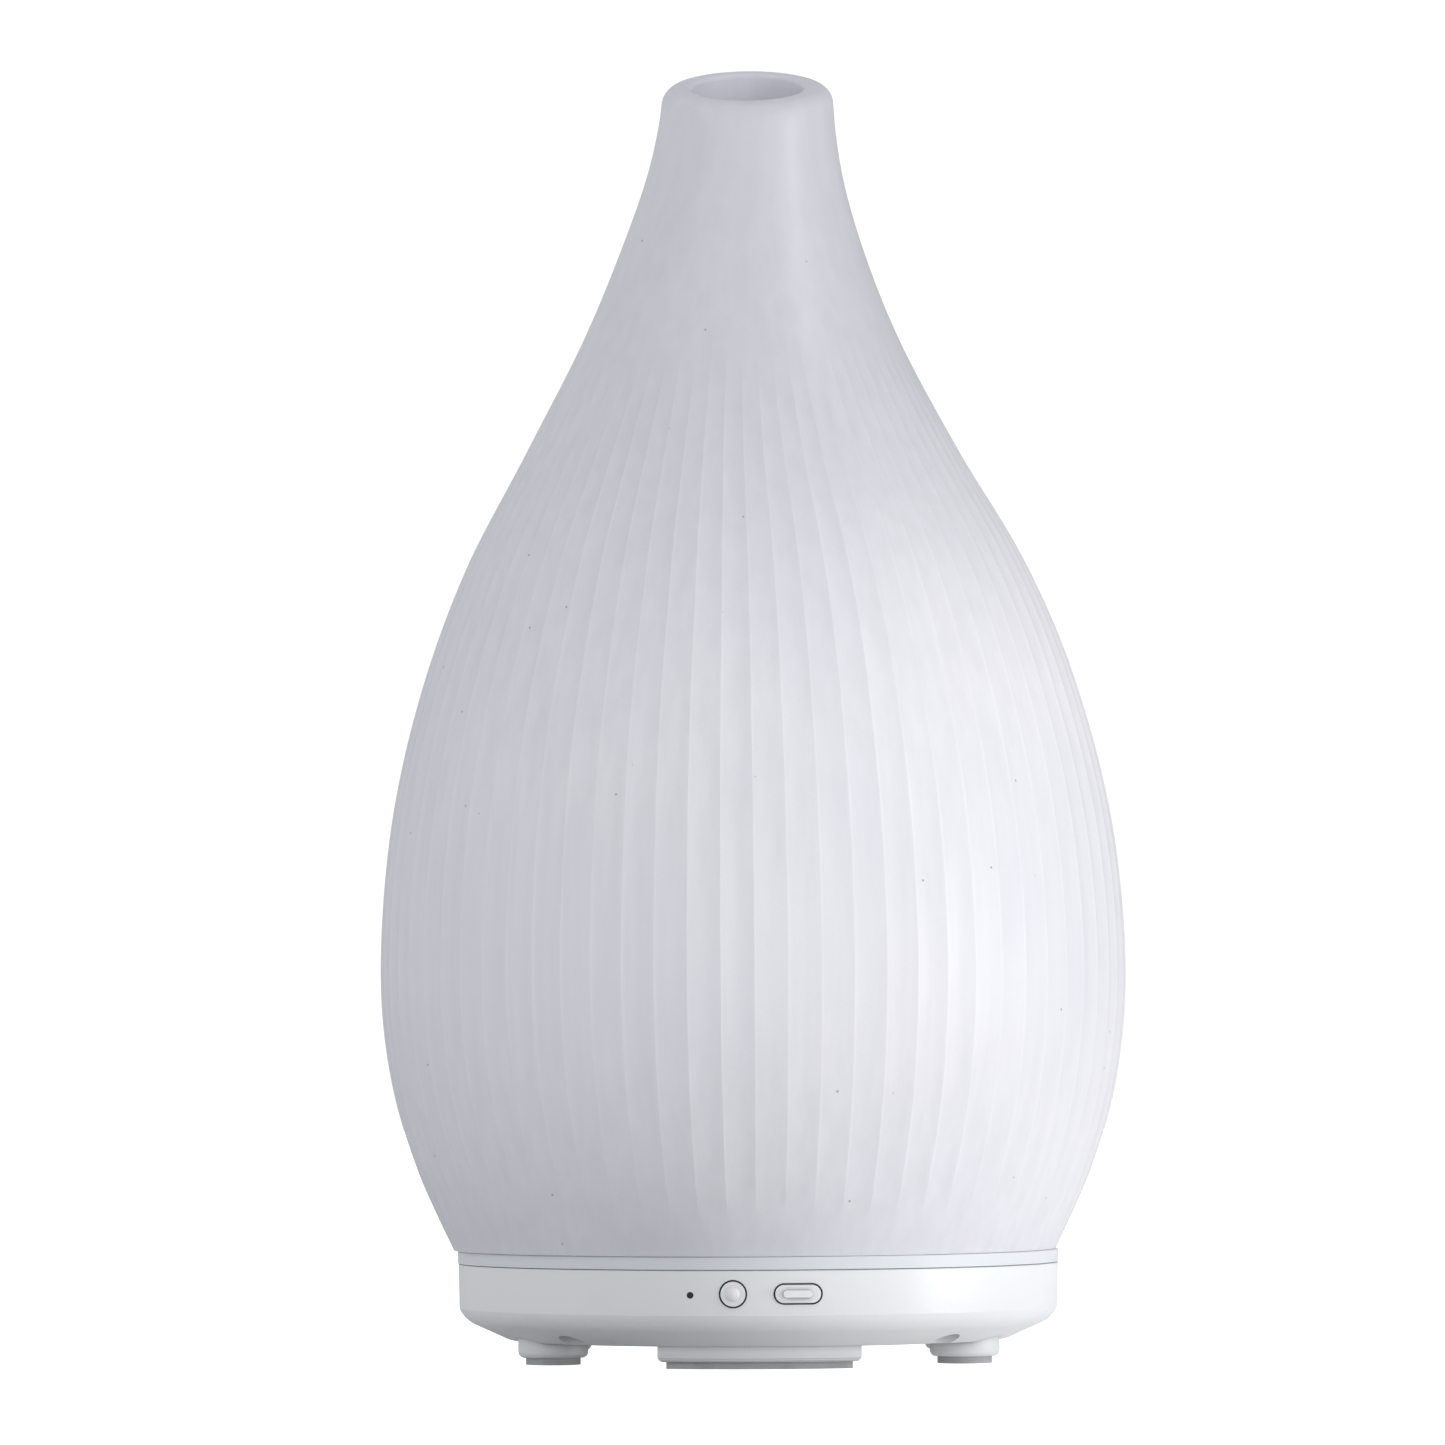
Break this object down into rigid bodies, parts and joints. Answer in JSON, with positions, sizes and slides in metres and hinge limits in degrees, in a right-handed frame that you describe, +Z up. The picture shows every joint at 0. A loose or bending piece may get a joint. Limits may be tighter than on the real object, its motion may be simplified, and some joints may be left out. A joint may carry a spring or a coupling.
{
  "type": "cool mist humidifier",
  "caption": "Cool mist aroma humidifier: bottle-shaped fluted glass cover over a water tank with a piezo mist maker, on a round white base with front buttons.",
  "frame": {"origin": "on the floor below the centre of the base, at the underside of the foot pads", "axes": "+Z up through the mouth, -Y towards the buttons, +X to the right of someone facing the buttons"},
  "size_m": [0.1364, 0.1364, 0.2387],
  "materials": {
    "ribbed_glass": "frosted",
    "white_plastic": "satin",
    "tank_plastic": "satin",
    "hood_plastic": "translucent satin",
    "ring_plastic": "translucent satin",
    "button_plastic": "satin",
    "foot_rubber": "matte",
    "seal_silicone": "satin",
    "black_plastic": "matte",
    "lens_plastic": "gloss",
    "steel": "satin",
    "contact_metal": "gloss",
    "bronze": "satin",
    "copper_winding": "satin",
    "magnet_ferrite": "matte",
    "sink_aluminium": "satin",
    "board_green": "satin",
    "board_white": "satin",
    "component_plastic": "satin",
    "led_resin": "gloss",
    "disc_metal": "satin",
    "wire_pvc": "satin",
    "ribbon_pvc": "satin"
  },
  "bodies": {
    "base": {"base_shell": "white_plastic", "water_tank": "tank_plastic", "light_ring": "ring_plastic", "ring_gasket": "seal_silicone", "front_foot_pad": "foot_rubber", "rear_foot_pad": "foot_rubber", "left_foot_pad": "foot_rubber", "right_foot_pad": "foot_rubber", "rear_left_foot_pad": "foot_rubber", "rear_right_foot_pad": "foot_rubber", "case_screws": "steel", "mist_switch": "black_plastic", "light_switch": "black_plastic", "indicator_lens": "lens_plastic", "indicator_led": "led_resin", "control_board": "board_green", "control_ribbon": "ribbon_pvc", "main_board": "board_green", "board_components": "component_plastic", "heat_sink": "sink_aluminium", "board_screws": "steel", "piezo_disc": "disc_metal", "piezo_seal": "seal_silicone", "piezo_clamp": "sink_aluminium", "piezo_screws": "steel", "piezo_leads": "wire_pvc", "fan_frame": "black_plastic", "fan_bearing": "bronze", "fan_stator": "copper_winding", "fan_screws": "steel", "fan_leads": "wire_pvc", "air_duct": "tank_plastic", "dc_jack": "black_plastic", "jack_pin": "contact_metal", "jack_contact": "contact_metal", "jack_leads": "wire_pvc", "led_board": "board_white", "leds": "led_resin"},
    "cover": {"glass_cover": "ribbed_glass"},
    "hood": {"inner_hood": "hood_plastic"},
    "mist_key": {"mist_button": "button_plastic", "mist_plunger": "component_plastic"},
    "light_key": {"light_button": "button_plastic", "light_plunger": "component_plastic"},
    "fan": {"fan_rotor": "black_plastic", "fan_magnet": "magnet_ferrite", "fan_shaft": "steel"}
  },
  "joints": [
    {"name": "cover_lift", "type": "slide", "parent": "base", "child": "cover", "axis": [0, 0, 1], "range_m": [0, 0.13]},
    {"name": "hood_lift", "type": "slide", "parent": "base", "child": "hood", "axis": [0, 0, 1], "range_m": [0, 0.04]},
    {"name": "mist_press", "type": "slide", "parent": "base", "child": "mist_key", "axis": [0, 1, 0], "range_m": [0, 0.0006], "stiffness_N_per_m": 1500},
    {"name": "light_press", "type": "slide", "parent": "base", "child": "light_key", "axis": [0, 1, 0], "range_m": [0, 0.0006], "stiffness_N_per_m": 1500},
    {"name": "fan_spin", "type": "hinge", "parent": "base", "child": "fan", "pos_m": [0, 0.0215, 0.0107], "axis": [0, 0, 1], "continuous": true}
  ]
}
